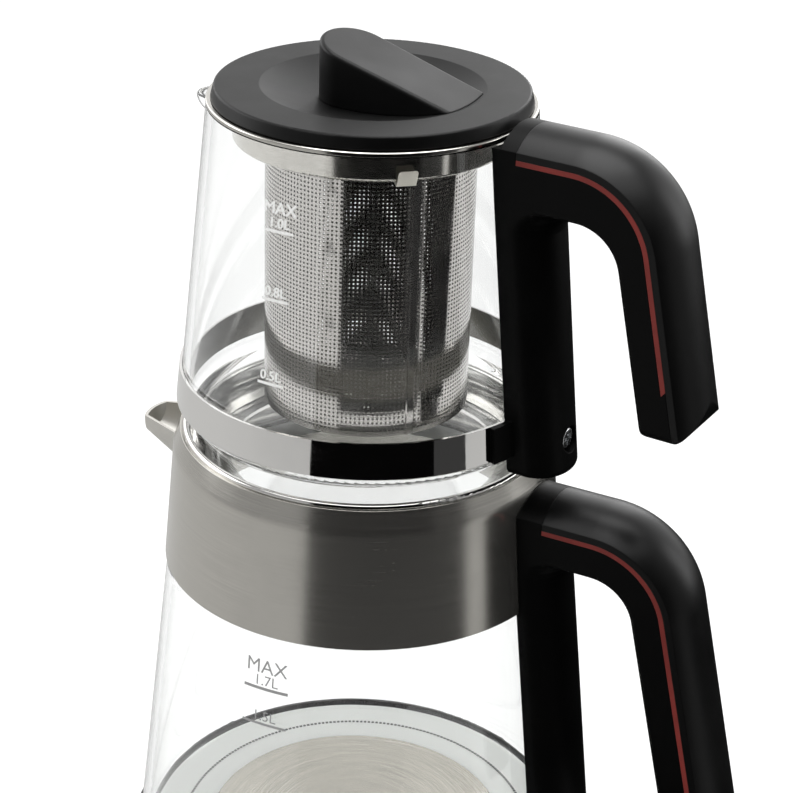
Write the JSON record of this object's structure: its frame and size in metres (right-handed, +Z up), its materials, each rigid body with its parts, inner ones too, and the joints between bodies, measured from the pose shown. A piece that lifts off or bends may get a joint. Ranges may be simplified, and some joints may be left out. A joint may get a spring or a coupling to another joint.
{
  "type": "automatic tea maker",
  "caption": "Stacked electric tea maker: lidded glass teapot with a strainer, nested in a glass and steel kettle that turns on and lifts off a round power base.",
  "frame": {"origin": "on the pots' common axis, at the height of the surface that the feet stand on", "axes": "+Z up along the pots' axis, +X towards the kettle's handle, -X towards its spout, -Y towards the control panel"},
  "size_m": [0.2394, 0.1935, 0.3582],
  "materials": {
    "black_plastic": "matte black",
    "grip_grey": "matte dark grey",
    "red_trim": "satin red",
    "polished_steel": "mirror polished",
    "brushed_steel": "brushed round the axis",
    "perforated_steel": "satin, perforated",
    "clear_glass": "clear",
    "clear_silicone": "translucent white",
    "black_rubber": "matte black",
    "contact_brass": "bright",
    "screw_steel": "bright zinc",
    "element_steel": "heat-dulled",
    "spreader_aluminium": "cast",
    "spring_steel": "wire",
    "board_green": "satin green",
    "lamp_clear": "clear amber white",
    "button_red": "satin red",
    "button_grey": "satin dark grey"
  },
  "bodies": {
    "power_base": {"base_shell": "black_plastic", "base_cover": "black_plastic", "base_feet": "black_rubber", "base_screws": "screw_steel", "base_connector": "black_plastic", "contact_pin": "contact_brass", "contact_ring": "contact_brass", "boil_spring": "spring_steel", "keep_warm_spring": "spring_steel", "control_board": "board_green", "indicator_lamps": "lamp_clear", "cord_gland": "black_rubber"},
    "shutter": {"contact_shutter": "black_plastic"},
    "boil_key": {"boil_button": "button_red"},
    "keep_warm_key": {"keep_warm_button": "button_grey"},
    "kettle": {"kettle_base_shell": "black_plastic", "kettle_bottom": "black_plastic", "kettle_bottom_screws": "screw_steel", "kettle_socket": "black_plastic", "socket_contacts": "contact_brass", "thermostat": "black_plastic", "heat_spreader": "spreader_aluminium", "heating_element": "element_steel", "heating_plate": "brushed_steel", "plate_seal": "clear_silicone", "kettle_glass": "clear_glass", "collar_gasket": "clear_silicone", "kettle_collar": "brushed_steel", "kettle_spout": "brushed_steel", "mouth_ring": "polished_steel", "kettle_handle": "black_plastic", "kettle_screw": "screw_steel", "kettle_grip_cover": "grip_grey", "kettle_stripes": "red_trim"},
    "teapot": {"teapot_glass": "clear_glass", "clamp_band": "polished_steel", "teapot_handle": "black_plastic", "teapot_screw": "screw_steel", "teapot_grip_cover": "grip_grey", "teapot_stripes": "red_trim"},
    "strainer": {"strainer_collar": "brushed_steel", "strainer_basket": "perforated_steel", "strainer_floor": "perforated_steel", "strainer_clips": "spring_steel"},
    "lid": {"lid_cover": "grip_grey", "lid_knob": "grip_grey", "lid_plug": "black_plastic", "lid_seal": "clear_silicone"}
  },
  "joints": [
    {"name": "kettle_turn", "type": "hinge", "parent": "power_base", "child": "shutter", "pos_m": [0, 0, 0.0243], "axis": [0, 0, 1], "continuous": true},
    {"name": "kettle_lift", "type": "slide", "parent": "shutter", "child": "kettle", "axis": [0, 0, 1], "range_m": [0, 0.04]},
    {"name": "teapot_lift", "type": "slide", "parent": "kettle", "child": "teapot", "axis": [0, 0, 1], "range_m": [0, 0.15]},
    {"name": "strainer_lift", "type": "slide", "parent": "teapot", "child": "strainer", "axis": [0, 0, 1], "range_m": [0, 0.13]},
    {"name": "lid_lift", "type": "slide", "parent": "strainer", "child": "lid", "axis": [0, 0, 1], "range_m": [0, 0.05]},
    {"name": "boil_press", "type": "slide", "parent": "power_base", "child": "boil_key", "axis": [0, 0, -1], "range_m": [0, 0.0016], "stiffness_N_per_m": 600, "springref_m": -0.001, "deforming": ["boil_spring"]},
    {"name": "keep_warm_press", "type": "slide", "parent": "power_base", "child": "keep_warm_key", "axis": [0, 0, -1], "range_m": [0, 0.0016], "stiffness_N_per_m": 600, "springref_m": -0.001, "deforming": ["keep_warm_spring"]}
  ]
}
